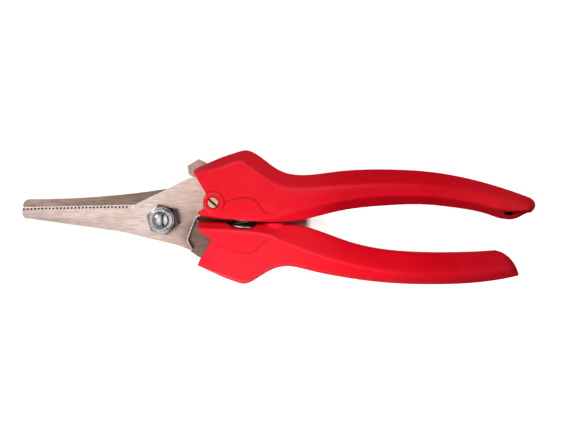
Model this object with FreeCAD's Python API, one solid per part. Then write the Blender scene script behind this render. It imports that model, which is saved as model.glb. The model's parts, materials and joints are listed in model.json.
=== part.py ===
import FreeCAD, Part
import math
import os

# Straight-blade snips lying on their back, closed. Millimetres.
# While building, the pivot is at x = y = 0 and z = 0 is the plane between the two plates.
# x runs from the blades to the handle ends, y across, and z up out of the front face.

# plates
plate_thickness = 2.0
plate_gap = 0.05            # running gap between the two plates
blade_reach = 53.1          # pivot to blade tip
blade_heel = 11.1           # pivot to where the cutting edge ends
edge_tip_height = 4.5       # front cutting edge above the pivot, at the tip
edge_heel_height = 5.4      # and at the heel
edge_bow = 0.1              # how far the middle of a cutting edge bows out
blade_overlap = 2.3         # how far the two edges pass each other when closed
bevel_width = 4.4           # ground face of a blade, across the edge
edge_land = 0.5             # plate thickness left at the cutting edge
tail_radius = 10.2          # nearest point of each plate's hollow tail edge to the pivot
tail_flare = 0.9            # how much further out the ends of that hollow edge lie
hook_reach = 14.4           # tip of the tail's hook, from the pivot
hook_angle = 48.1           # direction of that tip, from the x axis
tang_reach = 70.0           # pivot to the end of a tang
tooth_pitch = 1.35
tooth_radius = 0.38
tooth_inset = 0.9           # middle of a tooth's dimple, in from the edge
tooth_depth = 0.45

# pivot
bolt_radius = 3.0
bolt_running = 0.05         # radial play of the rear plate on the bolt
bolt_across_flats = 10.0
bolt_head_height = 4.0
bolt_dome_radius = 2.7
bolt_dome_height = 1.3
nut_across_flats = 10.0
nut_hex_height = 4.9
nut_collar_radius = 4.15
nut_height = 7.2
nut_turn = 14.0             # direction of one flat's normal
corner_chamfer = 0.6        # turned off the corners of the nut and the bolt head
insert_radius = 3.6
insert_height = 1.1
collar_lip = 0.4            # rolled over the insert

# handles
handle_thickness = 14.0
side_wall = 5.0             # height of the upright band round each handle
handle_reach = 135.3        # pivot to the upper handle's end
lower_reach = 129.9         # pivot to the lower handle's end
upper_shoulder = 25.1       # highest point of the upper handle
lower_belly = 24.0          # lowest point of the lower handle
grip_start = 48.5           # pivot to the waist, where the grips begin
eye_setback = 10.3          # lanyard eye, in from the upper handle's end
eye_radius = 3.6
eye_floor = 1.45            # lowest point of the eye
eye_height = 1.4
eye_lip = 1.55              # handle left under the eye

# thumb catch
catch_x = 18.3
catch_y = 6.1
catch_disc_radius = 4.0
catch_tab = (14.7, 20.9)    # right-hand corner of its thumb tab
catch_heel = 3.0            # how far its lower corner reaches left of the screw
catch_nose_angle = 47.5     # direction of the catch's nose, from the pivot
catch_swing = 12.0          # degrees from free to locked
catch_screw_radius = 1.5
catch_screw_running = 0.05
screw_head_radius = 1.9
screw_head_height = 1.8
screw_slot_width = 0.7
screw_slot_depth = 0.8
screw_slot_turn = -41.0
screw_end_wall = 1.2        # handle left behind the screw's tip
boss_radius = 3.7
boss_height = 0.3

# opening spring and closing stop
spring_x = 28.2
spring_radius = 4.35        # to the middle of the wire
spring_wire = 1.2
spring_turns = 6
upper_pocket_floor = 8.0
lower_pocket_floor = 9.5
pocket_clearance = 0.85
pocket_wall = 1.5           # handle between a spring pocket and the tang
stop_x = 39.85
stop_radius = 3.8
stop_root = 6.0             # depth below the pivot from which the stop stands up
stop_gap = 0.25             # left between the stop and the upper handle, closed
upper_inner_face = 1.1      # upper handle's inner face below the pivot, over the stop

# fitting
slip = 0.4                  # clearance between a moving edge and what it passes

half_handle = handle_thickness / 2
half_wall = side_wall / 2
pocket_radius = spring_radius + spring_wire / 2 + pocket_clearance
pocket_left = spring_x - pocket_radius - pocket_wall
pocket_right = spring_x + pocket_radius + pocket_wall
eye_x = handle_reach - eye_setback
front_top = plate_thickness
rear_top = -plate_gap
rear_bottom = rear_top - plate_thickness
UP = FreeCAD.Vector(0, 0, 1)
ORIGIN = FreeCAD.Vector(0, 0, 0)


def polar(radius, degrees):
    angle = math.radians(degrees)
    return (radius * math.cos(angle), radius * math.sin(angle))


def at(point, z):
    return FreeCAD.Vector(point[0], point[1], z)


def straight(points, z=0.0):
    """Edges of an open line through the points."""
    return [Part.makeLine(at(a, z), at(b, z)) for a, b in zip(points, points[1:])]


def smooth(points, z=0.0):
    """One smooth edge through the points."""
    curve = Part.BSplineCurve()
    curve.interpolate([at(p, z) for p in points])
    return [curve.toShape()]


def arc(start, middle, end, z=0.0):
    return [Part.Arc(at(start, z), at(middle, z), at(end, z)).toShape()]


def prism(edges, z, height):
    """Solid on a closed outline of edges drawn at z = 0."""
    face = Part.Face(Part.Wire(Part.__sortEdges__(edges)))
    return face.extrude(UP * height).translated(UP * z)


def cylinder(point, radius, z, height):
    return Part.makeCylinder(radius, height, at(point, z))


def across(x, radius, start, end):
    """Cylinder along y at height z = 0."""
    return Part.makeCylinder(radius, end - start, FreeCAD.Vector(x, start, 0), FreeCAD.Vector(0, 1, 0))


def revolve(profile):
    """Solid turned about the z axis from (radius, z) points."""
    wire = Part.makePolygon([FreeCAD.Vector(r, 0, z) for r, z in profile + profile[:1]])
    return Part.Face(wire).revolve(ORIGIN, UP, 360)


# ---- plates ----------------------------------------------------------------

def tail(side):
    """Hollow edge and hook, from the tang to the hook's tip. side is -1 when the hook points down."""
    start = polar(tail_radius + tail_flare, -2 * side)
    throat = polar(tail_radius + tail_flare, (hook_angle - 4.5) * side)
    tip = polar(hook_reach, hook_angle * side)
    edges = arc(start, polar(tail_radius, 22 * side), throat) + straight([throat, tip])
    return start, edges, tip


def cutting_edge(height_shift, tip_x):
    """Edge line of a blade, as (tip, edges, heel)."""
    tip = (tip_x, edge_tip_height + height_shift)
    heel = (-blade_heel, edge_heel_height + height_shift)
    middle = ((tip[0] + heel[0]) / 2, (tip[1] + heel[1]) / 2 + edge_bow)
    return tip, arc(tip, middle, heel), heel


def bevel(tip, heel, side, face):
    """Wedge that grinds a blade down to its edge on one face. side is 1 when the edge is on top."""
    slope = (plate_thickness - edge_land) / bevel_width
    over = bevel_width + 1

    def section(x, edge_y):
        root = edge_y - side * bevel_width
        far = root + side * over
        corners = [(root, face), (far, face - side * slope * over), (far, face + side), (root, face + side)]
        return Part.makePolygon([FreeCAD.Vector(x, y, z) for y, z in corners + corners[:1]])

    return Part.makeLoft([section(tip[0] - 4, tip[1]), section(heel[0], heel[1])], True, True)


def teeth(tip, heel):
    """Row of dimples along the front blade's ground face."""
    span = heel[0] - tip[0]
    ground = edge_land + tooth_inset * (plate_thickness - edge_land) / bevel_width
    dimples = []
    for i in range(int(span / tooth_pitch) - 1):
        share = i * tooth_pitch / span
        bow = 4 * edge_bow * share * (1 - share)
        y = tip[1] + (heel[1] - tip[1]) * share + bow - tooth_inset
        point = (tip[0] + i * tooth_pitch, y)
        dimples.append(cylinder(point, tooth_radius, ground - tooth_depth, plate_thickness))
    return Part.makeCompound(dimples)


def front_blade():
    """Lower blade, pivot plate and the upper handle's tang."""
    tip, edge, heel = cutting_edge(0.0, 0.9 - blade_reach)
    tail_start, tail_edges, hook = tail(-1)
    above_pocket = upper_pocket_floor + pocket_wall
    tang = [
        heel, (-0.4, 10.5), (7.8, 14.7), (14.0, 16.0), (34.0, 16.0), (46.0, 12.5),
        (tang_reach, 13.2), (tang_reach, 8.0), (46.0, 5.2), (pocket_right, above_pocket),
        (pocket_left, above_pocket), (pocket_left, 2.2), (13.5, 1.7), tail_start,
    ]
    back_edge = [hook, (9.75, -11.2), (9.2, -11.65), (4.2, -9.7), (-16.0, -4.75), (3.3 - blade_reach, 0.1)]
    edges = edge + straight(tang) + tail_edges + straight(back_edge)
    edges += arc(back_edge[-1], (0.2 - blade_reach, 2.3), tip)
    plate = prism(edges, 0, plate_thickness)
    plate = plate.cut(bevel(tip, heel, 1, front_top))
    plate = plate.cut(teeth(tip, heel))
    plate = plate.cut(cylinder((0, 0), bolt_radius, 0, plate_thickness))
    return plate.cut(cylinder((catch_x, catch_y), catch_screw_radius, 0, plate_thickness))


def rear_blade():
    """Upper blade, pivot plate and the lower handle's tang."""
    tip, edge, heel = cutting_edge(-blade_overlap, 0.7 - blade_reach)
    tail_start, tail_edges, hook = tail(1)
    below_pocket = -lower_pocket_floor - pocket_wall
    tang = [
        tail_start, (13.5, -2.4), (pocket_left, -3.0), (pocket_left, below_pocket),
        (pocket_right, below_pocket), (46.0, -7.5), (tang_reach, -13.0), (tang_reach, -18.5),
        (46.0, -13.5), (34.0, -17.0), (14.0, -15.1), (11.6, -14.2), (9.0, -12.3), (7.0, -10.5),
        (0.6, -8.4), (-9.0, -6.1), heel,
    ]
    spine = [(2.7 - blade_reach, 7.4), (-33.0, 7.8), (-24.0, 8.4), (-11.6, 9.6), (-0.7, 11.1)]
    corner = (-blade_reach, 5.2)
    edges = edge + straight(tang) + tail_edges + smooth(spine)
    edges += straight([spine[-1], (4.4, 11.3), (9.0, 11.1), hook]) + straight([tip, corner])
    edges += arc(corner, (0.6 - blade_reach, 6.4), spine[0])
    plate = prism(edges, rear_bottom, plate_thickness)
    plate = plate.cut(bevel(tip, heel, -1, rear_bottom))
    return plate.cut(cylinder((0, 0), bolt_radius + bolt_running, rear_bottom, plate_thickness))


# ---- pivot -----------------------------------------------------------------

def hexagon(across_flats, z, height, turn):
    radius = across_flats / math.sqrt(3)
    corners = [polar(radius, turn + 30 + 60 * i) for i in range(6)]
    return prism(straight(corners + corners[:1]), z, height)


def pivot_bolt():
    head_bottom = rear_bottom - bolt_head_height
    corner = bolt_across_flats / math.sqrt(3)
    turned = revolve([
        (0, head_bottom), (corner - 2 * corner_chamfer, head_bottom), (corner, head_bottom + corner_chamfer),
        (corner, rear_bottom), (0, rear_bottom),
    ])
    head = hexagon(bolt_across_flats, head_bottom, bolt_head_height, 0).common(turned)
    top = front_top + nut_height
    shank = cylinder((0, 0), bolt_radius, rear_bottom, top - insert_height - rear_bottom)
    end = cylinder((0, 0), bolt_dome_radius, rear_bottom, top - rear_bottom)
    ball = (bolt_dome_radius ** 2 + bolt_dome_height ** 2) / (2 * bolt_dome_height)
    dome = Part.makeSphere(ball, FreeCAD.Vector(0, 0, top + bolt_dome_height - ball))
    dome = dome.common(cylinder((0, 0), bolt_dome_radius, top, bolt_dome_height))
    return head.fuse([shank, end, dome]).removeSplitter()


def pivot_nut():
    corner = nut_across_flats / math.sqrt(3)
    shoulder = front_top + nut_hex_height
    top = front_top + nut_height
    turned = revolve([
        (0, front_top), (corner - 2 * corner_chamfer, front_top), (corner, front_top + corner_chamfer),
        (corner, shoulder - corner_chamfer), (corner - 2 * corner_chamfer, shoulder), (0, shoulder),
    ])
    body = hexagon(nut_across_flats, front_top, nut_hex_height, nut_turn).common(turned)
    collar = revolve([
        (0, shoulder), (nut_collar_radius, shoulder), (nut_collar_radius, top - collar_lip),
        (nut_collar_radius - collar_lip, top), (0, top),
    ])
    nut = body.fuse(collar).removeSplitter()
    groove = cylinder((0, 0), insert_radius, top - insert_height - collar_lip, insert_height)
    bore = cylinder((0, 0), bolt_radius, front_top, nut_height)
    mouth = cylinder((0, 0), bolt_radius + collar_lip, top - collar_lip, collar_lip)
    return nut.cut(groove).cut(bore).cut(mouth)


def nut_insert():
    bottom = front_top + nut_height - insert_height - collar_lip
    ring = cylinder((0, 0), insert_radius, bottom, insert_height)
    return ring.cut(cylinder((0, 0), bolt_radius, bottom, insert_height))


# ---- thumb catch -----------------------------------------------------------

def catch_outline():
    """Free edges of the lever, from its nose round the thumb tab to its disc."""
    nose = polar(hook_reach + slip, catch_nose_angle)
    return [
        (nose[0] - 0.5, nose[1] - 0.5), (11.8, 12.6), (11.5, 14.5), (8.2, 16.5), (7.7, 19.7), (12.0, 22.2),
        catch_tab, (catch_x + catch_disc_radius, catch_y + 1.0), (catch_x, catch_y - catch_disc_radius),
        (catch_x - catch_heel, catch_y - 1.1),
    ]


def catch_lever():
    points = catch_outline()
    lever = prism(straight(points + points[:1]), rear_bottom, plate_thickness)
    lever = lever.fuse(cylinder((catch_x, catch_y), catch_disc_radius, rear_bottom, plate_thickness))
    lever = lever.cut(cylinder((0, 0), hook_reach + slip, rear_bottom, plate_thickness))
    hole = catch_screw_radius + catch_screw_running
    return lever.removeSplitter().cut(cylinder((catch_x, catch_y), hole, rear_bottom, plate_thickness))


def catch_slot():
    """Room for the lever's swing, open to the upper handle's front and top."""
    swing = math.radians(catch_swing)
    low = catch_y - catch_heel * math.sin(swing) - 1.1 * math.cos(swing) - slip
    right = catch_x + catch_disc_radius + slip
    far_left = 5.0
    tab = (catch_tab[0] + slip, catch_tab[1] + slip)
    points = [(far_left, low), (catch_x, low), (right, catch_y + 1.0), tab, (tab[0], 26.0), (far_left, 26.0)]
    bottom = rear_bottom - slip
    room = prism(straight(points + points[:1]), bottom, -bottom)
    disc = cylinder((catch_x, catch_y), catch_disc_radius + slip, bottom, -bottom)
    return room.fuse(disc).removeSplitter()


def screw_blank():
    """The screw before its slot is cut, as (solid, height of its top)."""
    top = half_handle + boss_height
    neck = top - screw_head_height
    tip = screw_end_wall - half_handle
    head = cylinder((catch_x, catch_y), screw_head_radius, neck, screw_head_height)
    shank = cylinder((catch_x, catch_y), catch_screw_radius, tip, neck - tip)
    return head.fuse(shank).removeSplitter(), top


def catch_screw():
    blank, top = screw_blank()
    slot = Part.makeBox(3 * screw_head_radius, screw_slot_width, screw_slot_depth)
    slot.translate(FreeCAD.Vector(-1.5 * screw_head_radius, -screw_slot_width / 2, top - screw_slot_depth))
    slot.rotate(ORIGIN, UP, screw_slot_turn)
    slot.translate(FreeCAD.Vector(catch_x, catch_y, 0))
    return blank.cut(slot)


# ---- handles ---------------------------------------------------------------

def section(z, outer, end, inner, front):
    """Closed outline of a handle at height z: outer side, end, inner side, then the head's front."""
    edges = smooth(outer, z) + smooth(end, z) + smooth(inner, z) + straight(front, z)
    return Part.Wire(edges)


def faceted(full, face):
    """Grip with upright sides and slopes up to a narrower face, the same front and back."""
    wires = [section(z, *shape) for z, shape in (
        (-half_handle, face), (-half_wall, full), (half_wall, full), (half_handle, face))]
    return Part.makeLoft(wires, True, True)


def along(reach, points):
    """Points on a grip, from (share of the way from the waist to the grip's end, height)."""
    return [(grip_start + (reach - grip_start) * share, y) for share, y in points]


def upper_full():
    corner = (10.7, 18.1)
    nose = (13.2, 1.1)
    outer = [corner, (18.4, 21.6), (27.0, upper_shoulder - 0.5), (29.8, upper_shoulder), (32.6, 24.2),
             (39.3, 19.4), (43.4, 17.2)]
    outer += along(handle_reach, [(0, 16.2), (0.15, 17.3), (0.37, 18.2), (0.6, 16.8), (0.82, 12.5)])
    outer += [(handle_reach - 2.3, 8.0)]
    end = [outer[-1], (handle_reach - 0.6, 6.7), (handle_reach, 5.2), (handle_reach - 0.4, 3.9),
           (handle_reach - 1.8, 2.4)]
    inner = [end[-1], (eye_x + 6.5, 2.0), (eye_x + 4.5, 0.9), (eye_x + 1.2, eye_floor - eye_lip),
             (eye_x - 4.1, 1.2)]
    inner += along(handle_reach, [(0.67, 4.2), (0.52, 5.4), (0.37, 5.0), (0.18, 3.1), (0.03, 0.0)])
    inner += [(45.9, -0.8), (stop_x, -upper_inner_face), (33.2, -1.0), (23.5, -0.3), nose]
    front = [nose, (12.6, 2.2), (12.9, 3.0), (15.3, 3.9), (15.7, 9.3), corner]
    return outer, end, inner, front


def upper_face():
    corner = (11.2, 17.0)
    nose = (13.4, 1.6)
    outer = [corner, (16.5, 17.6), (22.0, 19.1), (27.4, 20.8), (29.2, 20.4), (31.3, 18.9), (37.2, 15.0),
             (43.5, 11.4)]
    outer += along(handle_reach, [(0.07, 11.2), (0.24, 12.1), (0.45, 12.4), (0.62, 11.2), (0.82, 8.0)])
    outer += [(handle_reach - 6.4, 5.6)]
    end = [outer[-1], (handle_reach - 5.0, 5.1), (handle_reach - 4.5, 4.5), (handle_reach - 4.7, 3.9),
           (handle_reach - 5.4, 3.5)]
    inner = [end[-1]]
    inner += along(handle_reach, [(0.86, 3.4), (0.73, 5.9), (0.62, 7.7), (0.51, 8.6)])
    inner += along(handle_reach, [(0.36, 8.6), (0.29, 8.2), (0.14, 6.2), (0.05, 4.5), (0.01, 3.6)])
    inner += [(45.8, 2.5), (42.3, 1.3), (stop_x, 0.5), (34.0, -0.3), (23.5, 0.4), nose]
    front = [nose, (12.7, 2.2), (12.9, 2.9), (15.3, 3.9), (15.7, 9.3), corner]
    return outer, end, inner, front


def lower_full():
    corner = (11.8, -17.0)
    nose = (12.4, -0.8)
    outer = [corner, (17.1, -19.5), (21.7, -21.6), (26.1, -23.2), (28.9, -23.8), (31.5, -23.0), (35.2, -20.7),
             (40.4, -18.0), (44.4, -17.3)]
    outer += along(lower_reach, [(0.04, -18.6), (0.2, -21.3), (0.4, -23.4)])
    outer += along(lower_reach, [(0.6, -lower_belly), (0.8, -23.4)])
    outer += [(lower_reach, -20.7)]
    end = [outer[-1], (lower_reach - 1.1, -17.9), (lower_reach - 3.0, -14.9), (lower_reach - 5.2, -12.9),
           (lower_reach - 7.2, -11.8)]
    inner = [end[-1]]
    inner += along(lower_reach, [(0.86, -12.1), (0.72, -12.5), (0.56, -12.4), (0.4, -11.4), (0.24, -8.6)])
    inner += along(lower_reach, [(0.04, -3.0)])
    inner += [(47.5, -2.2), (44.0, -2.1), (36.4, -1.7), (24.0, -1.2), nose]
    front = [nose, (12.0, -2.5), (12.7, -3.5), (14.1, -4.9), (15.8, -5.9), (17.5, -6.9), (15.7, -10.4),
             (13.5, -13.8), (12.5, -16.5), corner]
    return outer, end, inner, front


def lower_face():
    corner = (12.5, -16.3)
    nose = (12.7, -2.8)
    outer = [corner, (17.9, -18.1), (23.7, -20.0), (27.0, -21.0), (29.0, -21.3), (31.5, -20.2), (36.5, -16.9),
             (39.4, -15.4), (42.2, -14.7), (45.8, -14.7)]
    outer += along(lower_reach, [(0.1, -16.6), (0.27, -19.0), (0.45, -20.5), (0.54, -20.7), (0.63, -20.4)])
    outer += along(lower_reach, [(0.8, -19.2), (0.89, -18.3)])
    outer += [(lower_reach - 5.0, -17.7)]
    end = [outer[-1], (lower_reach - 4.6, -17.5), (lower_reach - 4.5, -17.2), (lower_reach - 4.6, -17.0),
           (lower_reach - 5.0, -16.9)]
    inner = [end[-1]]
    inner += along(lower_reach, [(0.89, -17.6), (0.8, -18.5), (0.71, -19.2), (0.63, -19.7), (0.54, -19.8)])
    inner += along(lower_reach, [(0.45, -19.3), (0.36, -18.2), (0.27, -16.8), (0.19, -15.2), (0.1, -13.0)])
    inner += along(lower_reach, [(0.01, -10.4)])
    inner += [(45.8, -8.9), (42.3, -7.3), (38.7, -5.5), (34.0, -4.4), (24.0, -3.4), nose]
    front = [nose, (12.7, -3.1), (12.9, -3.6), (14.1, -4.9), (15.8, -5.9), (17.5, -6.9), (15.7, -10.4),
             (13.5, -13.8), (12.6, -15.8), corner]
    return outer, end, inner, front


def spring_pocket(start, end):
    return across(spring_x, pocket_radius, start, end)


def lanyard_eye():
    """Lens-shaped opening through the inner lip of the upper handle's end."""
    lens = cylinder((eye_x, eye_floor + eye_radius), eye_radius, -half_handle, handle_thickness)
    keep = Part.makeBox(2 * eye_radius, eye_height, handle_thickness)
    return lens.common(keep.translated(FreeCAD.Vector(eye_x - eye_radius, eye_floor, -half_handle)))


def upper_handle(tang):
    grip = faceted(upper_full(), upper_face())
    boss = cylinder((catch_x, catch_y), boss_radius, front_top, half_handle + boss_height - front_top)
    grip = grip.fuse(boss).removeSplitter()
    grip = grip.cut(spring_pocket(-4.0, upper_pocket_floor))
    grip = grip.cut(catch_slot()).cut(lanyard_eye())
    return grip.cut(tang).cut(screw_blank()[0])


def lower_handle(tang):
    grip = faceted(lower_full(), lower_face())
    stop = across(stop_x, stop_radius, -stop_root, -upper_inner_face - stop_gap)
    grip = grip.fuse(stop).removeSplitter()
    return grip.cut(spring_pocket(-lower_pocket_floor, 1.0)).cut(tang)


def spring():
    """Coil between the two pocket floors, touching both."""
    length = upper_pocket_floor + lower_pocket_floor - spring_wire
    helix = Part.makeHelix(length / spring_turns, length, spring_radius)
    start = FreeCAD.Vector(spring_radius, 0, 0)
    wire_end = Part.Wire(Part.makeCircle(spring_wire / 2, start, FreeCAD.Vector(0, 1, 0)))
    coil = Part.Wire(helix).makePipeShell([wire_end], True, True)
    coil.rotate(ORIGIN, FreeCAD.Vector(1, 0, 0), -90)
    coil.translate(FreeCAD.Vector(spring_x, spring_wire / 2 - lower_pocket_floor, 0))
    return coil


def nodes():
    tang = front_blade()
    rear = rear_blade()
    return {
        "front_blade": tang,
        "rear_blade": rear,
        "upper_handle": upper_handle(tang),
        "lower_handle": lower_handle(rear),
        "pivot_bolt": pivot_bolt(),
        "pivot_nut": pivot_nut(),
        "nut_insert": nut_insert(),
        "catch_lever": catch_lever(),
        "catch_screw": catch_screw(),
        "spring": spring(),
    }


def save(shapes):
    """Write each node with the origin under the middle of the closed tool."""
    middle_x = (handle_reach - blade_reach) / 2
    middle = FreeCAD.Vector(middle_x, (upper_shoulder - lower_belly) / 2, -half_handle)
    os.makedirs("parts", exist_ok=True)
    for name, shape in shapes.items():
        shape.translate(-middle)
        shape.exportStep("parts/" + name + ".step")


save(nodes())
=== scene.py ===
import json
import math

import bmesh
import bpy
import numpy as np
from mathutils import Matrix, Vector


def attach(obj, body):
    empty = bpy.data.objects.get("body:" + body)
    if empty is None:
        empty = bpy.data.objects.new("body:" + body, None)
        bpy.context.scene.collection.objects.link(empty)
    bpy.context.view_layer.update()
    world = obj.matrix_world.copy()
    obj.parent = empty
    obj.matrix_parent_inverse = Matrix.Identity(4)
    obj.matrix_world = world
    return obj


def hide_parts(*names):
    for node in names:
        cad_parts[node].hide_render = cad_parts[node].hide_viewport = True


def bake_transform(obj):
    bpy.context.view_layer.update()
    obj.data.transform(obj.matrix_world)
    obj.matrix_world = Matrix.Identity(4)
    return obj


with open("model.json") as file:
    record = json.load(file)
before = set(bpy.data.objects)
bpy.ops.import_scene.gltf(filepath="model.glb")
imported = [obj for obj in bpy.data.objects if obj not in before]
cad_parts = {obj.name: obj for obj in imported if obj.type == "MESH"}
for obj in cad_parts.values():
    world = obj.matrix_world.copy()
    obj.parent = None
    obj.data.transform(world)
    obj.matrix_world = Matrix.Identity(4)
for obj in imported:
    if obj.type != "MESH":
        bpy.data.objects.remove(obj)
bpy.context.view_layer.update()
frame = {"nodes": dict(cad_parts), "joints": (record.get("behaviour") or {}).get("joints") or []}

# Places are in millimetres about the pivot, as in the part's source: x from the blades to the
# handle ends, y across, z up from the plane between the two plates.
MM = 0.001
PIVOT = np.array(next(j for j in frame["joints"] if j["name"] == "pivot")["pos_m"])


def at(x, y, z):
    return Vector(PIVOT) + Vector((x, y, z)) * MM


def ramp_up(value, low, high):
    """0 below low, 1 above high, smooth in between."""
    share = np.clip((np.asarray(value, float) - low) / (high - low), 0, 1)
    return share * share * (3 - 2 * share)


# ---- materials ---------------------------------------------------------------

def add(tree, kind, inputs=None, **settings):
    """A node with its settings, and its inputs set to values or linked to sockets."""
    node = tree.nodes.new(kind)
    for key, value in settings.items():
        setattr(node, key, value)
    for key, value in (inputs or {}).items():
        if isinstance(value, bpy.types.NodeSocket):
            tree.links.new(value, node.inputs[key])
        else:
            node.inputs[key].default_value = value
    return node


def surface(name, **values):
    """A new material, its tree and its shader, with the shader's own values set."""
    material = bpy.data.materials.new(name)
    material.use_nodes = True
    shader = material.node_tree.nodes["Principled BSDF"]
    for key, value in values.items():
        shader.inputs[key.replace("_", " ")].default_value = value
    return material, material.node_tree, shader


def place(tree, stretch=(1, 1, 1)):
    """Millimetres about the pivot on the piece itself, stretched by a factor along each axis."""
    point = add(tree, "ShaderNodeTexCoord").outputs["Object"]
    scale = [s / MM for s in stretch]
    shift = [-p * s for p, s in zip(PIVOT, scale)]
    inputs = {"Vector": point, "Location": shift, "Scale": scale}
    return add(tree, "ShaderNodeMapping", inputs).outputs[0]


def grain(tree, vector, scale, detail=3.0, roughness=0.5, distortion=0.0):
    inputs = {"Vector": vector, "Scale": scale, "Detail": detail, "Roughness": roughness,
              "Distortion": distortion}
    return add(tree, "ShaderNodeTexNoise", inputs).outputs["Fac"]


def remap(tree, value, low, high, to_low, to_high):
    """Straight-line change of a value, held at both ends."""
    inputs = {"Value": value, "From Min": low, "From Max": high, "To Min": to_low, "To Max": to_high}
    return add(tree, "ShaderNodeMapRange", inputs).outputs["Result"]


def calc(tree, operation, first, second):
    return add(tree, "ShaderNodeMath", {0: first, 1: second}, operation=operation).outputs[0]


def blend_colour(tree, share, first, second, mode="MIX"):
    node = add(tree, "ShaderNodeMix", data_type="RGBA", blend_type=mode)
    for socket, value in ((node.inputs[0], share), (node.inputs[6], first), (node.inputs[7], second)):
        if isinstance(value, bpy.types.NodeSocket):
            tree.links.new(value, socket)
        else:
            socket.default_value = value
    return node.outputs[2]


def bump(tree, shader, *layers):
    """Layers of (height socket, distance in mm, strength) on the shader's normal."""
    normal = None
    for height, distance, strength in layers:
        inputs = {"Height": height, "Distance": distance * MM, "Strength": strength}
        if normal is not None:
            inputs["Normal"] = normal
        normal = add(tree, "ShaderNodeBump", inputs).outputs[0]
    tree.links.new(normal, shader.inputs["Normal"])


def grey(level):
    return (level, level, level, 1)


def attribute(tree, name):
    """A value kept at the mesh's corners."""
    return add(tree, "ShaderNodeAttribute", attribute_name=name).outputs["Fac"]


def red_plastic():
    """Satin moulded plastic, with painted highlights along the ridges, paler rubbed edges and painted shade
    in hollows. Painted light and shade change its colour from the heads to the ends of the grips, and steep
    sides and grip ends shine less."""
    material, tree, shader = surface("red_plastic", Roughness=0.42, IOR=1.45, Specular_IOR_Level=0.20)
    spot = place(tree)
    axes = add(tree, "ShaderNodeSeparateXYZ", {0: spot}).outputs
    cloud = grain(tree, spot, 0.09, 4.0)
    speck = grain(tree, spot, 5.5, 2.0, 0.6)
    streaks = grain(tree, spot, 1.3, 5.0, 0.7)
    sheen_and_wear = attribute(tree, "sheen_and_wear")
    painted_shade = attribute(tree, "painted_shade")
    steep = attribute(tree, "steep")

    # Painted light and shade: the lower head paler and pinker than the upper, and each grip brighter or
    # darker along its length as the lamps light it.
    over_heads = remap(tree, axes["Y"], -8.0, 8.0, 0, 1)
    over_grips = remap(tree, axes["Y"], -16.0, 6.0, 0, 1)
    head = blend_colour(tree, over_heads, (0.90, 0.017, 0.033, 1), (0.82, 0.010, 0.024, 1))
    waist = blend_colour(tree, over_grips, (0.92, 0.0045, 0.018, 1), (0.71, 0.0025, 0.014, 1))
    middle = (0.79, 0.0030, 0.015, 1)
    end = blend_colour(tree, over_grips, (0.71, 0.011, 0.025, 1), (0.88, 0.018, 0.032, 1))
    tone = blend_colour(tree, remap(tree, axes["X"], 40.0, 66.0, 0, 1), head, waist)
    tone = blend_colour(tree, remap(tree, axes["X"], 76.0, 104.0, 0, 1), tone, middle)
    tone = blend_colour(tree, remap(tree, axes["X"], 98.0, 126.0, 0, 1), tone, end)
    clouded = remap(tree, cloud, 0.35, 0.65, 0, 1)
    tone = blend_colour(tree, clouded, tone, (0.93, 0.85, 0.88, 1), "MULTIPLY")
    # painted highlight along the ridges, streaked, with paler rounded-off edges
    sheen_line = calc(tree, "MULTIPLY", sheen_and_wear, remap(tree, streaks, 0.3, 0.75, 0.25, 1.0))
    tone = blend_colour(tree, calc(tree, "MULTIPLY", sheen_line, 0.8), tone, (0.93, 0.050, 0.075, 1))
    # painted shade in grooves, hollows and shaded faces
    tone = blend_colour(tree, painted_shade, tone, (0.16, 0.002, 0.006, 1))
    tree.links.new(tone, shader.inputs["Base Color"])

    gloss = remap(tree, axes["X"], 50.0, 120.0, 0.20, 0.0)
    gloss = calc(tree, "MULTIPLY", gloss, calc(tree, "SUBTRACT", 1.0, painted_shade))
    gloss = calc(tree, "MULTIPLY", gloss, remap(tree, steep, 0.0, 1.0, 1.0, 0.25))
    tree.links.new(gloss, shader.inputs["Specular IOR Level"])
    satin = remap(tree, speck, 0.2, 0.8, 0.36, 0.50)
    rough = calc(tree, "ADD", satin, calc(tree, "MULTIPLY", sheen_and_wear, -0.06))
    tree.links.new(rough, shader.inputs["Roughness"])
    bump(tree, shader, (grain(tree, spot, 0.35, 3.0), 0.10, 0.25), (speck, 0.020, 0.45),
         (grain(tree, spot, 12.0, 1.0), 0.008, 0.35))
    return material


ROOT_SLOPE = 0.022      # slope of the line at the root of the front plate's ground face


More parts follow.
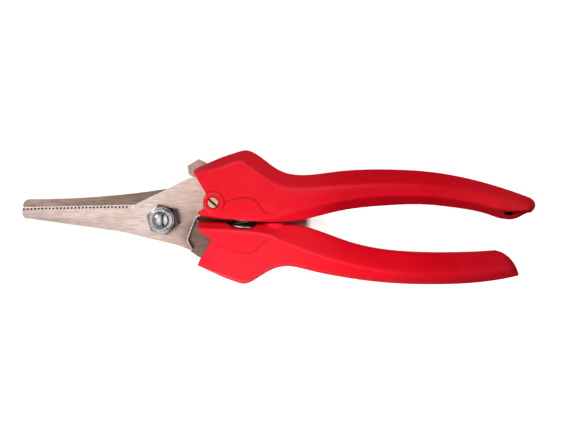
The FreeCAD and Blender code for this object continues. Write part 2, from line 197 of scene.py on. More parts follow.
def brushed_plate(name, light, dark, tip_tone, handle_tone, handle_from=-8.0, dull=1.0):
    """Ground steel plate with wavy grain along the blades. tip_tone is a painted change of brightness, from
    reflected light, at the tip, and handle_tone the same over the part from handle_from towards the handles.
    dull is the tone left at the tip below the ground face."""
    material, tree, shader = surface(name, Metallic=1.0, Roughness=0.34)
    spot = place(tree)
    axes = add(tree, "ShaderNodeSeparateXYZ", {0: spot}).outputs
    warp = grain(tree, place(tree, (0.12, 0.45, 0.3)), 1.0, 2.0)
    along = add(tree, "ShaderNodeVectorMath", {0: place(tree, (0.22, 4.2, 1.0))}, operation="ADD")
    tree.links.new(calc(tree, "MULTIPLY", warp, 2.6), along.inputs[1])
    lines = grain(tree, along.outputs[0], 1.0, 5.0, 0.62, 0.25)
    fine = grain(tree, place(tree, (0.5, 14.0, 3.0)), 1.0, 2.0, 0.6)
    patch = grain(tree, spot, 0.16, 3.0)

    tone = blend_colour(tree, remap(tree, lines, 0.36, 0.62, 0, 1), dark, light)
    tone = blend_colour(tree, remap(tree, patch, 0.3, 0.7, 0, 0.35), tone, dark, "MULTIPLY")
    # painted light: the tip and the part towards the handles made brighter or darker, as reflections fall on
    # them
    at_tip = remap(tree, axes["X"], -53.0, -34.0, 1, 0)
    tone = blend_colour(tree, at_tip, tone, tip_tone, "MULTIPLY")
    slant = calc(tree, "SUBTRACT", axes["X"], calc(tree, "MULTIPLY", axes["Y"], 0.55))
    at_handle = remap(tree, slant, handle_from, handle_from + 17.0, 0, 1)
    tone = blend_colour(tree, at_handle, tone, handle_tone, "MULTIPLY")
    over_root = calc(tree, "SUBTRACT", axes["Y"], calc(tree, "MULTIPLY", axes["X"], ROOT_SLOPE))
    below_root = remap(tree, over_root, 1.0, 1.4, 1, 0)
    wedge = calc(tree, "MULTIPLY", below_root, remap(tree, axes["X"], -50.0, -12.0, 1, 0))
    tone = blend_colour(tree, wedge, tone, (dull, dull * 0.97, dull * 0.97, 1), "MULTIPLY")
    tree.links.new(tone, shader.inputs["Base Color"])
    tree.links.new(remap(tree, lines, 0.25, 0.75, 0.42, 0.27), shader.inputs["Roughness"])
    bump(tree, shader, (lines, 0.05, 0.5), (fine, 0.012, 0.4))
    return material


def sheared_edge(name, colour):
    """Bright edge left by stamping and deburring a plate, painted near white as a highlight of the edges
    catching the light.
    """
    material, tree, shader = surface(name, Metallic=0.3, Roughness=0.40)
    marks = grain(tree, place(tree, (1.0, 1.0, 0.4)), 3.0, 4.0, 0.6)
    dull = tuple(c * 0.72 for c in colour[:3]) + (1,)
    tone = blend_colour(tree, remap(tree, marks, 0.35, 0.7, 0, 1), dull, colour)
    tree.links.new(tone, shader.inputs["Base Color"])
    tree.links.new(remap(tree, marks, 0.3, 0.7, 0.28, 0.42), shader.inputs["Roughness"])
    bump(tree, shader, (marks, 0.02, 0.5))
    return material


def plated(name, bright, dull, rough):
    """Electroplated hardware: bright, faintly clouded, with short random scratches, and painted shade
    in hollows and on shaded faces.
    """
    material, tree, shader = surface(name, Metallic=1.0, Roughness=rough)
    spot = place(tree)
    cloud = grain(tree, spot, 0.8, 4.0, 0.6)
    marks = grain(tree, place(tree, (2.5, 9.0, 3.0)), 1.0, 3.0, 0.7, 0.6)
    tone = blend_colour(tree, remap(tree, cloud, 0.35, 0.68, 0, 1), dull, bright)
    # painted shade, near black
    tone = blend_colour(tree, attribute(tree, "painted_shade"), tone, (0.045, 0.022, 0.014, 1))
    tree.links.new(tone, shader.inputs["Base Color"])
    tree.links.new(remap(tree, marks, 0.3, 0.75, rough * 0.7, rough * 1.5), shader.inputs["Roughness"])
    bump(tree, shader, (cloud, 0.03, 0.25), (marks, 0.01, 0.4))
    return material


def nylon():
    """Off-white locking ring."""
    material, tree, shader = surface("nylon", Roughness=0.45, Subsurface_Weight=0.1)
    spot = place(tree)
    cloud = grain(tree, spot, 2.5, 3.0)
    tone = blend_colour(tree, cloud, (0.42, 0.42, 0.43, 1), (0.60, 0.60, 0.61, 1))
    tree.links.new(tone, shader.inputs["Base Color"])
    bump(tree, shader, (grain(tree, spot, 6.0, 2.0), 0.02, 0.4))
    return material


def floor_material():
    """Pale floor that shows white to the camera, dimly in reflections, and keeps the shadow. It has no
    glow under the narrow gap between the grips, and a little more far away."""
    material, tree, shader = surface("floor", Roughness=0.9)
    spot = place(tree)
    paper = grain(tree, spot, 0.06, 4.0)
    tree.links.new(blend_colour(tree, paper, grey(0.84), grey(0.87)), shader.inputs["Base Color"])
    axes = add(tree, "ShaderNodeSeparateXYZ", {0: spot}).outputs
    aside = calc(tree, "ABSOLUTE", calc(tree, "ADD", axes["Y"], 0.5), 0.0)
    past_grips = calc(tree, "MULTIPLY", calc(tree, "SUBTRACT", axes["X"], 50.5), 2.5)
    past_heads = calc(tree, "SUBTRACT", 8.0, axes["X"])
    out_of_gap = calc(tree, "MAXIMUM", aside, calc(tree, "MAXIMUM", past_grips, past_heads))
    near_glow = remap(tree, out_of_gap, 3.0, 9.0, 0.0, 0.76)
    far_glow = remap(tree, out_of_gap, 80.0, 300.0, 0.0, 0.14)
    path = add(tree, "ShaderNodeLightPath")
    mirrored = calc(tree, "MULTIPLY", path.outputs["Is Glossy Ray"], 0.15)
    seen = calc(tree, "MAXIMUM", path.outputs["Is Camera Ray"], mirrored)
    strength = calc(tree, "MULTIPLY", seen, calc(tree, "ADD", near_glow, far_glow))
    glow = add(tree, "ShaderNodeEmission", {"Color": grey(1.0), "Strength": strength})
    both = add(tree, "ShaderNodeAddShader", {0: shader.outputs[0], 1: glow.outputs[0]})
    tree.links.new(both.outputs[0], tree.nodes["Material Output"].inputs["Surface"])
    return material


def dimple_shade():
    """Painted shade, near black, in the front plate's small dimples."""
    material, tree, shader = surface("dimple_shade", Roughness=0.7)
    cloud = grain(tree, place(tree), 2.0, 3.0)
    tone = blend_colour(tree, cloud, (0.055, 0.035, 0.032, 1), (0.12, 0.075, 0.068, 1))
    tree.links.new(tone, shader.inputs["Base Color"])
    return material


RED = red_plastic()
DIMPLE_SHADE = dimple_shade()
FRONT_STEEL = brushed_plate("front_plate", (0.94, 0.79, 0.73, 1), (0.66, 0.52, 0.47, 1),
                            (0.70, 0.68, 0.73, 1), (0.89, 0.80, 0.76, 1), dull=0.68)
# The rear plate's steel painted darker than the front's: painted shade and dark reflections, with a painted
# lighter tip.
SHADED_REAR_STEEL = brushed_plate("rear_plate", (0.43, 0.305, 0.25, 1), (0.27, 0.185, 0.150, 1),
                           (1.45, 1.56, 1.58, 1), (0.74, 0.72, 0.72, 1), -30.0)
CATCH_STEEL = brushed_plate("catch_plate", (0.62, 0.41, 0.35, 1), (0.46, 0.30, 0.25, 1),
                            (1.0, 1.0, 1.0, 1), (1.0, 1.0, 1.0, 1))
BRIGHT_EDGE = sheared_edge("bright_edge", (0.96, 0.93, 0.91, 1))
ZINC = plated("zinc", (0.82, 0.80, 0.81, 1), (0.52, 0.51, 0.52, 1), 0.18)
NICKEL = plated("nickel", (0.86, 0.62, 0.45, 1), (0.62, 0.42, 0.29, 1), 0.28)
SPRING_STEEL = plated("spring_steel", (0.92, 0.86, 0.84, 1), (0.66, 0.60, 0.58, 1), 0.34)
NYLON = nylon()


# ---- meshes ------------------------------------------------------------------

def welded(node):
    """The node's mesh with its corners joined."""
    bm = bmesh.new()
    bm.from_mesh(frame["nodes"][node].data)
    bmesh.ops.remove_doubles(bm, verts=bm.verts, dist=2e-7)
    return bm


def piece(name, mesh, materials, body, node=None):
    """An object that rides on a body, stands for a CAD node and takes a material slot's finish."""
    ob = bpy.data.objects.new(name, mesh)
    bpy.context.scene.collection.objects.link(ob)
    for material in materials:
        mesh.materials.append(material)
    if body:
        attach(ob, body)
    if node:
        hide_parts(node)
    return ob


def to_mesh(bm, name, smooth_angle=32.0, wall_slot=None, hole_slot=None, in_hole=None):
    """Finished mesh: smooth where faces meet gently, sharp where they don't. Upright walls and the
    inside of holes can have material slots of their own."""
    bm.normal_update()
    for face in bm.faces:
        middle = (np.array(face.calc_center_median()) - PIVOT) / MM
        if wall_slot is not None and abs(face.normal.z) < 0.5:
            face.material_index = wall_slot
        if in_hole is not None and in_hole(middle):
            face.material_index = hole_slot
        face.smooth = True
    for edge in bm.edges:
        edge.smooth = len(edge.link_faces) == 2 and edge.calc_face_angle() < math.radians(smooth_angle)
    mesh = bpy.data.meshes.new(name)
    bm.to_mesh(mesh)
    bm.free()
    return mesh


SHARP = math.radians(38.0)      # edges turning less than this aren't rounded over


def rounded(node, width, take):
    """Copy of a CAD node with the sharp edges that take picks rounded over by width in mm. The rounded
    edges get material slot 1."""
    bm = welded(node)
    bm.normal_update()
    edges = []
    for edge in bm.edges:
        if len(edge.link_faces) != 2 or edge.calc_face_angle() < SHARP:
            continue
        middle = (np.array(edge.verts[0].co) + np.array(edge.verts[1].co)) / 2
        if take((middle - PIVOT) / MM):
            edges.append(edge)
    bmesh.ops.bevel(bm, geom=edges, offset=width * MM, offset_type="OFFSET", segments=2,
                    profile=0.5, affect="EDGES", clamp_overlap=False, material=1)
    return bm


def fine_mesh(node, voxel):
    """Even mesh over a CAD node's surface."""
    bm = welded(node)
    mesh = bpy.data.meshes.new(node + "_fine")
    bm.to_mesh(mesh)
    bm.free()
    ob = bpy.data.objects.new(node + "_fine", mesh)
    bpy.context.scene.collection.objects.link(ob)
    cut = ob.modifiers.new("even", "REMESH")
    cut.mode = "VOXEL"
    cut.voxel_size = voxel * MM
    graph = bpy.context.evaluated_depsgraph_get()
    even = bpy.data.meshes.new_from_object(ob.evaluated_get(graph))
    bpy.data.objects.remove(ob)
    bpy.data.meshes.remove(mesh)
    return even


def corners(mesh):
    """Places of the mesh's corners in mm about the pivot."""
    co = np.zeros(len(mesh.vertices) * 3)
    mesh.vertices.foreach_get("co", co)
    return (co.reshape(-1, 3) - PIVOT) / MM


def normals(mesh):
    found = np.zeros(len(mesh.vertices) * 3)
    mesh.vertex_normals.foreach_get("vector", found)
    return found.reshape(-1, 3)


def set_corners(mesh, co):
    mesh.vertices.foreach_set("co", (co * MM + PIVOT).ravel())
    mesh.update()


def edge_pairs(mesh):
    """The two corners of each edge."""
    found = np.zeros(len(mesh.edges) * 2, int)
    mesh.edges.foreach_get("vertices", found)
    return found.reshape(-1, 2)


def keep_value(mesh, name, values):
    """Keeps a value from 0 to 1 at each corner, for a material to read."""
    layer = mesh.attributes.new(name, "FLOAT", "POINT")
    layer.data.foreach_set("value", np.clip(values, 0, 1).astype(np.float32))


def shade_smooth(mesh):
    for polygon in mesh.polygons:
        polygon.use_smooth = True


def relax(co, edges, weight, rounds, axes=(0, 1, 2)):
    """Evens out the surface. weight is each corner's share of the way to its neighbours' mean."""
    a, b = edges[:, 0], edges[:, 1]
    count = np.maximum(np.bincount(edges.ravel(), minlength=len(co)), 1)
    for _ in range(rounds):
        for k in axes:
            total = np.bincount(a, co[b, k], len(co)) + np.bincount(b, co[a, k], len(co))
            co[:, k] += weight * (total / count - co[:, k])
    return co


def curve_through(points, step=0.15):
    """Points close together on a smooth curve through the given ones."""
    pts = [np.array(p, float) for p in points]
    pts = [2 * pts[0] - pts[1]] + pts + [2 * pts[-1] - pts[-2]]
    out = []
    for i in range(1, len(pts) - 2):
        p0, p1, p2, p3 = pts[i - 1:i + 3]
        for t in np.linspace(0, 1, max(2, int(np.linalg.norm(p2 - p1) / step)), endpoint=False):
            out.append(0.5 * (2 * p1 + (p2 - p0) * t + (2 * p0 - 5 * p1 + 4 * p2 - p3) * t ** 2
                              + (3 * p1 - p0 - 3 * p2 + p3) * t ** 3))
    return np.array(out + [pts[-2]])


def beside(xy, line):
    """Distance of each point from a line, positive to its left, and the share of the way along it."""
    best = np.full(len(xy), 1e9)
    near = np.zeros(len(xy), int)
    for i, p in enumerate(line):
        gap = (xy[:, 0] - p[0]) ** 2 + (xy[:, 1] - p[1]) ** 2
        closer = gap < best
        best[closer] = gap[closer]
        near[closer] = i
    ahead = np.minimum(near + 1, len(line) - 1)
    behind = np.maximum(near - 1, 0)
    run = line[ahead] - line[behind]
    off = xy - line[near]
    side = np.sign(run[:, 0] * off[:, 1] - run[:, 1] * off[:, 0])
    return side * np.sqrt(best), near / (len(line) - 1)


# ---- handles -----------------------------------------------------------------

# Edges of the raised leaf on each head.
UPPER_LEAF = [(21.9, 5.9), (22.4, 6.2), (25.0, 7.0), (29.1, 7.9), (31.0, 7.7), (33.4, 6.7), (35.1, 4.5),
              (36.7, 2.6), (39.1, 2.0), (42.0, 2.3)]
LOWER_LEAF = [(18.7, -8.4), (23.7, -10.4), (27.1, -11.3), (30.4, -11.7), (33.1, -11.0), (35.1, -9.0),
              (36.7, -7.4), (39.1, -6.8), (41.4, -7.4)]
LEAF_STEP = 0.18        # height of the leaf's edge
LEAF_GROOVE = 0.10      # depth of the groove along that edge
GROOVE_OFF = 0.12       # how far outside the edge the groove runs
LEAF_REACH = 7.0        # over which the ground outside the leaf comes back up
HANDLE_VOXEL = 0.3
GRIP_FROM, GRIP_FULL = 36.0, 52.0       # x over which the crisp head turns into the soft grip
HEAD_SOFT, GRIP_SOFT = 0.08, 0.72       # how strongly edges are evened out, and how much more on the grip
ROUNDS, FACE_ROUNDS = 40, 120           # how often the whole surface, then the faces' height, is evened out
BAND_TOP, BAND_PAST = 2.7, 3.9          # height to which the upright band keeps its outline, and past it
BOSS = (18.3, 6.1)      # middle of the boss and of the screw in it
BOSS_GROOVE = 4.0       # radius of the groove round the boss, where shade is painted
SCREW_GROOVE = 2.05     # and of the one round the screw's head
EYE = (125.0, 5.05)     # middle of the arc that bounds the lanyard eye
EYE_REACH = 3.75        # just past that arc
STOP_X = 39.85          # middle of the round stop between the handles
SPRING_X = 28.2         # middle of the spring

# Ridges, creases and marks of the moulded faces, as (x, y, strength of the painted highlight along it, how
# crisp).
UPPER_RIDGE = [(11.4, 16.8, 0.3, 1), (16.5, 17.6, 0.6, 1), (22.0, 19.1, 0.9, 1), (27.2, 20.8, 1.0, 1),
               (29.2, 20.4, 0.8, 1), (31.0, 18.6, 0.3, 0.6), (37.0, 14.4, 0.1, 0.2), (43.5, 11.4, 0.5, 0.2),
               (54.6, 11.2, 0.7, 0.2), (69.3, 12.1, 0.5, 0.2), (87.6, 12.4, 0.3, 0.1), (102.3, 11.2, 0.0, 0)]
UPPER_CREASE = [(42.3, 1.0, 0, 0.8), (45.8, 2.5, 0, 0.9), (52.8, 4.5, 0, 0.9), (60.7, 6.2, 0, 0.8),
                (73.7, 8.2, 0, 0.5), (92.8, 8.6, 0, 0.3), (111.9, 5.9, 0, 0.3)]
LOWER_RIDGE = [(12.8, -3.4, 0.3, 1), (24.0, -3.9, 0.6, 1), (34.0, -4.9, 0.8, 1), (38.7, -5.8, 1.0, 1),
               (42.3, -7.3, 0.9, 1), (49.3, -10.4, 1.0, 1), (56.6, -13.0, 1.0, 1), (64.0, -15.2, 0.8, 0.9),
               (70.5, -16.8, 0.6, 0.7), (77.8, -18.2, 0.5, 0.6), (85.1, -19.3, 0.3, 0.5),
               (92.4, -19.8, 0.1, 0.4), (106.3, -19.3, 0, 0.3), (120.9, -17.7, 0, 0.3)]
MOULD_MARK = [(102.7, -13.0, 0.1, 0), (105.6, -15.2, 0.5, 0), (108.5, -18.1, 0.1, 0)]
RIM_RADIUS = 3.55       # of the boss's rim, which gets a painted highlight
BOSS_RIM = [(BOSS[0] + RIM_RADIUS * math.cos(math.radians(a)),
             BOSS[1] + RIM_RADIUS * math.sin(math.radians(a)), 0.9, 1) for a in range(60, 280, 20)]
RIDGE_SHEEN = 0.55        # width of the painted highlight line along a ridge
RIDGE_HOLD = 1.1        # how far from a ridge its edge is held crisp
# Line beside the lanyard eye along which shade is painted.
EYE_SEAM = [(127.2, 2.9), (129.4, 2.7), (131.4, 2.1)]


def bell(distance, width):
    """1 on a line, falling smoothly to nothing beside it."""
    return np.exp(-(distance / width) ** 2)


def split_near(mesh, line, reach):
    """Finer faces on both sides of a line, within reach of it, where a step or groove is pressed in."""
    bm = bmesh.new()
    bm.from_mesh(mesh)
    bm.verts.ensure_lookup_table()
    co = (np.array([v.co for v in bm.verts]).reshape(-1, 3) - PIVOT) / MM
    gap, _ = beside(co[:, :2], line)
    close = (np.abs(gap) < reach) & (np.abs(co[:, 2]) > 4.0)
    edges = [e for e in bm.edges if close[e.verts[0].index] and close[e.verts[1].index]]
    bmesh.ops.subdivide_edges(bm, edges=edges, cuts=1, use_grid_fill=True)
    bm.to_mesh(mesh)
    bm.free()


def along_ridges(co, ridges):
    """How strong the painted highlight is and how crisp each corner is, from its distance to the ridges."""
    sheen = np.zeros(len(co))
    hold = np.zeros(len(co))
    front = ramp_up(np.abs(co[:, 2]), 4.6, 5.6)
    for ridge in ridges:
        line = curve_through([p[:2] for p in ridge], 0.4)
        gap, share = beside(co[:, :2], line)
        knots = beside(np.array([p[:2] for p in ridge]), line)[1]
        bright = np.interp(share, knots, [p[2] for p in ridge])
        crisp = np.interp(share, knots, [p[3] for p in ridge])
        sheen = np.maximum(sheen, bright * bell(gap, RIDGE_SHEEN) * front)
        hold = np.maximum(hold, crisp * bell(gap, RIDGE_HOLD) * front)
    return sheen, hold


def soften(co, edges, sharp, hold):
    """The solid's edges rounded over, most of all along the grip. The upright band round the handle
    keeps its outline."""
    grip = ramp_up(co[:, 0], GRIP_FROM, GRIP_FULL) * (1 - sharp) * (1 - 0.93 * hold)
    before = co.copy()
    co = relax(co, edges, HEAD_SOFT + GRIP_SOFT * grip - 0.05 * sharp, ROUNDS)
    band = (1 - ramp_up(np.abs(before[:, 2]), BAND_TOP, BAND_PAST))[:, None]
    co[:, :2] += band * (before - co)[:, :2]
    off_band = ramp_up(np.abs(co[:, 2]), 2.6, 3.6)
    return relax(co, edges, 0.9 * grip * off_band, FACE_ROUNDS, axes=(2,))


def press_leaf(co, out, line, inner_side):
    """Moves co so that the ground outside the leaf lies lower, with a groove along the leaf's edge. Gives
    the painted shade in that groove at each corner."""
    gap, share = beside(co[:, :2], line)
    gap *= inner_side
    up = ramp_up(np.abs(out[:, 2]), 0.55, 0.8) * ramp_up(np.abs(co[:, 2]), 4.0, 5.0)
    ends = ramp_up(share, 0.0, 0.05) * (1 - ramp_up(share, 0.80, 1.0))
    rise = ramp_up(share, 0.0, 0.35) * (1 - ramp_up(share, 0.65, 1.0))
    fade = np.exp(-np.maximum(-gap, 0) / LEAF_REACH)
    low = LEAF_STEP * rise * ramp_up(-gap, -0.22, 0.34) * fade
    groove = LEAF_GROOVE * bell(gap + GROOVE_OFF, 0.2) * ends
    co[:, 2] -= np.sign(co[:, 2]) * (low + groove) * up
    # painted shade along the groove
    return 0.42 * bell(gap + GROOVE_OFF, 0.28) * up * ends


def handle(node, name, body, leaf, inner_side, crisp, dark, ridges):
    """Moulded grip: the CAD solid with its edges softened, and the leaf's edge on both faces.
    inner_side is 1 where the leaf lies left of its line. crisp is 1 where edges stay sharp, and dark
    gives the painted shade, up to 1, in hollows and shaded places."""
    mesh = fine_mesh(node, HANDLE_VOXEL)
    line = curve_through(leaf)
    split_near(mesh, line, 1.1)
    edges = edge_pairs(mesh)
    before = corners(mesh)
    sheen, hold = along_ridges(before, ridges)
    co = soften(before.copy(), edges, crisp(before), hold)
    set_corners(mesh, co)
    out = normals(mesh)
    rounded_off = ((before - co) * out).sum(1)
    groove = press_leaf(co, out, line, inner_side)
    painted_shade = groove + dark(co, out)
    set_corners(mesh, co)
    # painted highlight along the ridges, and a paler tone where the edges were rounded off
    keep_value(mesh, "sheen_and_wear", sheen + 0.12 * ramp_up(rounded_off, 0.04, 0.35))
    # painted shade of the leaf's groove and of the places that dark picks
    keep_value(mesh, "painted_shade", painted_shade)
    keep_value(mesh, "steep", ramp_up(1 - np.abs(out[:, 2]), 0.12, 0.40))
    shade_smooth(mesh)
    return piece(name, mesh, [RED], body, node)


def upper_crisp(co):
    """The lanyard eye and the lip under it."""
    along = ramp_up(co[:, 0], 117.5, 119.5) * (1 - ramp_up(co[:, 0], 131.5, 133.5))
    return along * (1 - ramp_up(co[:, 1], 4.2, 5.6))


def lower_crisp(co):
    """The stop between the handles."""
    near = np.hypot(co[:, 0] - STOP_X, co[:, 2])
    return (1 - ramp_up(near, 4.0, 5.5)) * ramp_up(co[:, 1], -3.5, -2.5)


def upper_shade(co, out):
    """Painted shade in the lanyard eye, along the seam beside it, round the boss, on the grip's inner slope
    and in the pocket.
    """
    lens = np.hypot(co[:, 0] - EYE[0], co[:, 1] - EYE[1]) < EYE_REACH
    eye = lens & (co[:, 1] > 1.3) & (co[:, 1] < 3.0) & (np.abs(out[:, 2]) < 0.7)
    gap, _ = beside(co[:, :2], curve_through(EYE_SEAM))
    seam = 0.8 * bell(gap, 0.28) * (out[:, 2] > 0.2)
    # painted shade on the upper grip's inner slope, towards the gap
    inner_slope = 0.42 * ramp_up(-out[:, 1], 0.25, 0.6) * ramp_up(co[:, 0], 50.0, 66.0)
    front = co[:, 2] > 0
    return 0.6 * eye + 0.5 * seam + pocket_shade(co, out) + boss_shade(co) + inner_slope * front


def pocket_shade(co, out):
    """Painted shade inside the pocket for the spring, and on the walls that face the gap between the heads.
    """
    pocket = (np.hypot(co[:, 0] - SPRING_X, co[:, 2]) < 6.0) & (np.abs(co[:, 1]) < 9.6)
    along = ramp_up(co[:, 0], 11.0, 14.0) * (1 - ramp_up(co[:, 0], 38.0, 50.0))
    facing = (co[:, 1] > -3.2) & (co[:, 1] < 2.4) & (np.abs(out[:, 1]) > 0.8)
    gap_wall = 0.6 * facing * along * (1 - ramp_up(np.abs(co[:, 2]), 2.6, 4.0))
    return np.maximum(pocket, gap_wall)


def boss_shade(co):
    """Painted shade in the groove round the boss, heavier towards +x and +y, and in the one round the
    screw's head.
    """
    across = co[:, :2] - BOSS
    out_to = np.hypot(across[:, 0], across[:, 1])
    shady = ramp_up(across[:, 0] + across[:, 1], -1.5, 3.0)
    round_boss = (0.15 + 0.45 * shady) * bell(out_to - BOSS_GROOVE, 0.28)
    round_screw = 0.6 * bell(out_to - SCREW_GROOVE, 0.25)
    return (round_boss + round_screw) * (co[:, 2] > 4.0)


handle("upper_handle", "upper_grip", "front_half", UPPER_LEAF, -1, upper_crisp, upper_shade,
       [UPPER_RIDGE, UPPER_CREASE, BOSS_RIM])
handle("lower_handle", "lower_grip", "rear_half", LOWER_LEAF, 1, lower_crisp, pocket_shade,
       [LOWER_RIDGE, MOULD_MARK])


# ---- plates, catch and hardware ------------------------------------------------

BORE_CLEAR = 3.3        # round the pivot, the bore's edge stays as it is
CATCH_BORE_CLEAR = 1.8  # and round the catch's screw
TIP, HEEL = (-52.2, 4.5), (-11.1, 5.4)      # ends of the front plate's cutting edge
EDGE_BOW = 0.1          # how far the middle of that edge bows out
EDGE_LAND = 0.5         # plate thickness left at the edge
PLATE_THICKNESS = 2.0
BEVEL_WIDTH = 4.4       # ground face, across the edge
GROUND_SLOPE = (PLATE_THICKNESS - EDGE_LAND) / BEVEL_WIDTH  # its rise away from the edge
TOOTH_FROM, TOOTH_TO = -53.0, -12.0     # x over which the row of dimples lies
SLOT_TURN = math.radians(-41.0)     # of the slot across the screw's head


def from_pivot(p):
    return math.hypot(p[0], p[1])


def from_boss(p):
    return math.hypot(p[0] - BOSS[0], p[1] - BOSS[1])


def edge_height(x):
    """Height of the front plate's cutting edge above the pivot."""
    share = (x - TIP[0]) / (HEEL[0] - TIP[0])
    return TIP[1] + (HEEL[1] - TIP[1]) * share + 4 * EDGE_BOW * share * (1 - share)


def off_front_holes(p):
    """True except at the front plate's bores and its row of dimples."""
    row = edge_height(p[0])
    in_row = TOOTH_FROM < p[0] < TOOTH_TO and row - 1.5 < p[1] < row - 0.3
    return from_pivot(p) >= BORE_CLEAR and from_boss(p) >= CATCH_BORE_CLEAR and not in_row


def in_tooth(p):
    """Walls and floors of the dimples, which lie below the ground face around them."""
    row = edge_height(p[0])
    depth = EDGE_LAND + (row - p[1]) * GROUND_SLOPE - p[2]
    in_row = TOOTH_FROM < p[0] < TOOTH_TO and row - 1.4 < p[1] < row - 0.4
    return in_row and depth > 0.03 and p[2] > 0.05


def stamped(node, name, width, take, materials, body, slot, **holes):
    """Stamped plate whose walls take the second material. Its edges are rounded over by width in mm
    where take is true."""
    mesh = to_mesh(rounded(node, width, take), name, wall_slot=1, **holes)
    return piece(name, mesh, materials, body, node)


def cast(node, name, voxel, rounds, material, body, dark=None):
    """Turned or forged piece: the CAD solid with its edges softly worn. dark gives the painted shade, up to
    1, in hollows and on shaded faces.
    """
    mesh = fine_mesh(node, voxel)
    co = relax(corners(mesh), edge_pairs(mesh), 0.5, rounds)
    set_corners(mesh, co)
    keep_value(mesh, "painted_shade", dark(co) if dark else np.zeros(len(co)))
    shade_smooth(mesh)
    return piece(name, mesh, [material], body, node)


def shaded_flats(co):
    """Painted shade on the hexagon below the nut's collar, darkest on the sides towards +x and +y."""
    out = np.hypot(co[:, 0], co[:, 1])
    below = np.maximum(ramp_up(out, 4.25, 4.55), 1 - ramp_up(co[:, 2], 6.6, 7.1))
    return below * (0.08 + 0.80 * ramp_up(0.85 * co[:, 0] + 0.55 * co[:, 1], -1.5, 2.5))


def slot_shade(co):
    """Painted shade inside the slot across the screw's head."""
    off = (co[:, 1] - BOSS[1]) * math.cos(SLOT_TURN) - (co[:, 0] - BOSS[0]) * math.sin(SLOT_TURN)
    return 0.8 * ((np.abs(off) < 0.40) & (co[:, 2] > 6.3) & (co[:, 2] < 7.2))


stamped("front_blade", "front_plate", 0.30, off_front_holes, [FRONT_STEEL, BRIGHT_EDGE, DIMPLE_SHADE],
        "front_half", "blade_steel", hole_slot=2, in_hole=in_tooth)
stamped("rear_blade", "rear_plate", 0.14, lambda p: from_pivot(p) > BORE_CLEAR,
        [SHADED_REAR_STEEL, BRIGHT_EDGE], "rear_half", "blade_steel")
stamped("catch_lever", "thumb_catch", 0.26, lambda p: from_boss(p) > 2.0,
        [CATCH_STEEL, BRIGHT_EDGE], "catch", "catch_steel")
cast("pivot_nut", "lock_nut", 0.12, 4, ZINC, "front_half", shaded_flats)
cast("pivot_bolt", "bolt", 0.14, 4, ZINC, "front_half")
cast("nut_insert", "insert_ring", 0.12, 3, NYLON, "front_half")
cast("catch_screw", "slotted_screw", 0.10, 3, NICKEL, "front_half", slot_shade)


# ---- spring ----------------------------------------------------------------------

COIL_RADIUS = 4.35      # to the middle of the wire
WIRE_RADIUS = 0.6
COIL_TURNS = 6.0
UPPER_FLOOR, LOWER_FLOOR = 8.0, -9.5    # y of the pocket floors that the spring's ends rest on


def coil():
    """Opening spring from one pocket floor to the other."""
    top, bottom = UPPER_FLOOR - WIRE_RADIUS, LOWER_FLOOR + WIRE_RADIUS
    full_turn = 2 * math.pi * COIL_TURNS
    steps, around = 420, 14
    bm = bmesh.new()
    rings = []
    for i in range(steps + 1):
        share = i / steps
        turn = full_turn * share
        outward = np.array((math.cos(turn), 0.0, math.sin(turn)))
        centre = np.array((SPRING_X, bottom + (top - bottom) * share, 0.0)) + COIL_RADIUS * outward
        run = np.array((-math.sin(turn) * COIL_RADIUS * full_turn, top - bottom,
                        math.cos(turn) * COIL_RADIUS * full_turn))
        run /= np.linalg.norm(run)
        side = np.cross(run, outward)
        ring = []
        for k in range(around):
            a = 2 * math.pi * k / around
            point = centre + WIRE_RADIUS * (math.cos(a) * outward + math.sin(a) * side)
            ring.append(bm.verts.new(at(*point)))
        rings.append(ring)
    for first, second in zip(rings, rings[1:]):
        for k in range(around):
            following = (k + 1) % around
            bm.faces.new((first[k], first[following], second[following], second[k]))
    bm.faces.new(list(reversed(rings[0])))
    bm.faces.new(rings[-1])
    bmesh.ops.recalc_face_normals(bm, faces=bm.faces)
    mesh = to_mesh(bm, "opening_spring", 60.0)
    ob = piece("opening_spring", mesh, [SPRING_STEEL], None, "spring")
    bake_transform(ob)


coil()


# ---- camera, floor and light -----------------------------------------------------

FILL = 0.15             # even light from all round, apart from what reflections see
FILL_OVERHEAD = 0.1     # share of it that is left straight above
CEILING_LOW = 0.18      # what reflections see near the horizon
CEILING_HIGH = 1.20     # and above
CEILING_RIGHT = 0.05    # share of the ceiling that is left over the grips
SOFTBOX = 5.0           # small bright patch in reflections
SOFTBOX_WAY = (-0.73, 0.59, 0.34)
RIGHT_GLOW = 1.2        # brightness added on the far right, seen by stamped edges
CAMERA_WHITE = 1.04     # what the camera itself sees
SENSOR_MM = 36.0
LENS_MM = 30.4
CAMERA_MM = (45.1, 9.2, 180.0)
CAMERA_TILT = math.atan2(8.3, 180.0)    # of the view, towards the lower handle


def make_camera():
    cam = bpy.data.objects.new("camera", bpy.data.cameras.new("camera"))
    bpy.context.scene.collection.objects.link(cam)
    cam.data.sensor_width = SENSOR_MM
    cam.data.lens = LENS_MM
    cam.location = at(*CAMERA_MM)
    cam.rotation_euler = (-CAMERA_TILT, 0.0, 0.0)
    bpy.context.scene.camera = cam


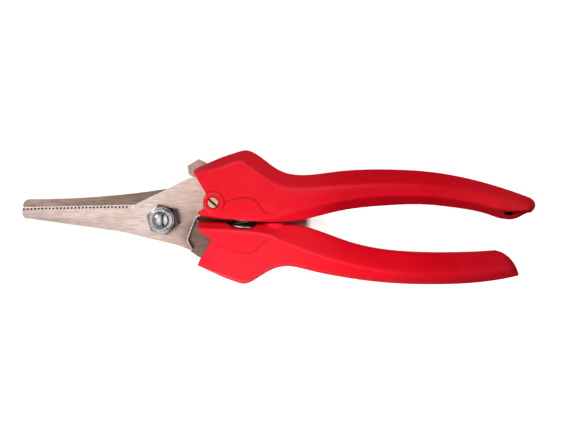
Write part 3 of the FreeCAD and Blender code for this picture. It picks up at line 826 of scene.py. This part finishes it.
def lamp(name, place_mm, aim_mm, size_mm, power, colour):
    """Soft square lamp aimed at a point. Neither the camera nor reflections see it."""
    light = bpy.data.lights.new(name, "AREA")
    light.size = size_mm * MM
    light.energy = power
    light.color = colour
    ob = bpy.data.objects.new(name, light)
    bpy.context.scene.collection.objects.link(ob)
    ob.location = at(*place_mm)
    ob.rotation_euler = (at(*aim_mm) - ob.location).to_track_quat("-Z", "Y").to_euler()
    ob.visible_camera = False
    ob.visible_glossy = False


def make_world():
    """White to the camera. Reflections see a soft ceiling, brighter over the blades, a small softbox
    and a glow on the far right. Everything else gets even fill, with little of it straight above."""
    world = bpy.data.worlds.new("world")
    bpy.context.scene.world = world
    world.use_nodes = True
    tree = world.node_tree
    back = tree.nodes["Background"]
    back.inputs["Color"].default_value = (1.0, 0.985, 0.97, 1)
    way = add(tree, "ShaderNodeTexCoord").outputs["Generated"]
    axes = add(tree, "ShaderNodeSeparateXYZ", {0: way}).outputs
    ceiling = calc(tree, "MULTIPLY", remap(tree, axes["Z"], 0.30, 0.85, CEILING_LOW, CEILING_HIGH),
                   remap(tree, axes["X"], -0.15, 0.25, 1.0, CEILING_RIGHT))
    toward = add(tree, "ShaderNodeVectorMath", {0: way, 1: SOFTBOX_WAY}, operation="DOT_PRODUCT")
    box = remap(tree, toward.outputs["Value"], 0.965, 0.985, 0.0, SOFTBOX)
    glow = remap(tree, axes["X"], 0.48, 0.70, 0.0, RIGHT_GLOW)
    mirror = calc(tree, "ADD", calc(tree, "ADD", ceiling, box), glow)
    fill = remap(tree, axes["Z"], 0.90, 0.975, FILL, FILL * FILL_OVERHEAD)
    path = add(tree, "ShaderNodeLightPath")
    light = remap(tree, path.outputs["Is Glossy Ray"], 0, 1, fill, mirror)
    strength = remap(tree, path.outputs["Is Camera Ray"], 0, 1, light, CAMERA_WHITE)
    tree.links.new(strength, back.inputs["Strength"])


make_camera()
bpy.ops.mesh.primitive_plane_add(size=4.0)
floor = bpy.context.object
floor.name = "floor"
floor.data.materials.append(floor_material())
lamp("overhead", (50, 175, 350), (60, 0, 0), 220, 0.60, (1.0, 0.98, 0.96))
lamp("key", (14, -60, 105), (32, -10, 0), 60, 0.125, (1.0, 0.97, 0.95))
make_world()
bpy.context.scene.view_settings.view_transform = "Standard"
